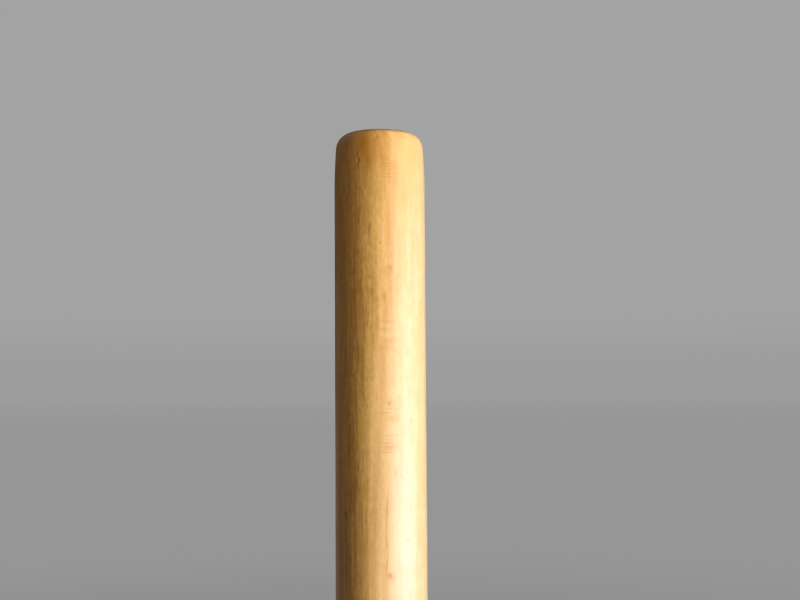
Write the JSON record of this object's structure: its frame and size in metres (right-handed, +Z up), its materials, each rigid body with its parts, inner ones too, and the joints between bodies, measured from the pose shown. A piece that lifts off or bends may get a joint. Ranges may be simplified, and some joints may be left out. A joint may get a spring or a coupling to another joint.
{
  "type": "claves",
  "caption": "Pair of solid turned hardwood percussion sticks with rounded ends, one standing upright and one lying where it is struck.",
  "frame": {"origin": "centre of the striking clave's flat butt end, on the surface that both claves stand and lie on", "axes": "+Z up along the striking clave, +X from the striking clave towards the held clave, +Y along the held clave"},
  "size_m": [0.1222, 0.2, 0.2],
  "materials": {
    "striker_wood": "blond hardwood under a clear satin varnish",
    "held_wood": "blond hardwood under a clear satin varnish"
  },
  "bodies": {
    "held_clave": {"held_clave": "held_wood"},
    "striking_clave": {"striking_clave": "striker_wood"}
  },
  "joints": [
    {"name": "strike_swing", "type": "hinge", "parent": "held_clave", "child": "striking_clave", "pos_m": [0, 0, 0.0378], "axis": [0, 1, 0], "range_deg": [0, 90]}
  ]
}
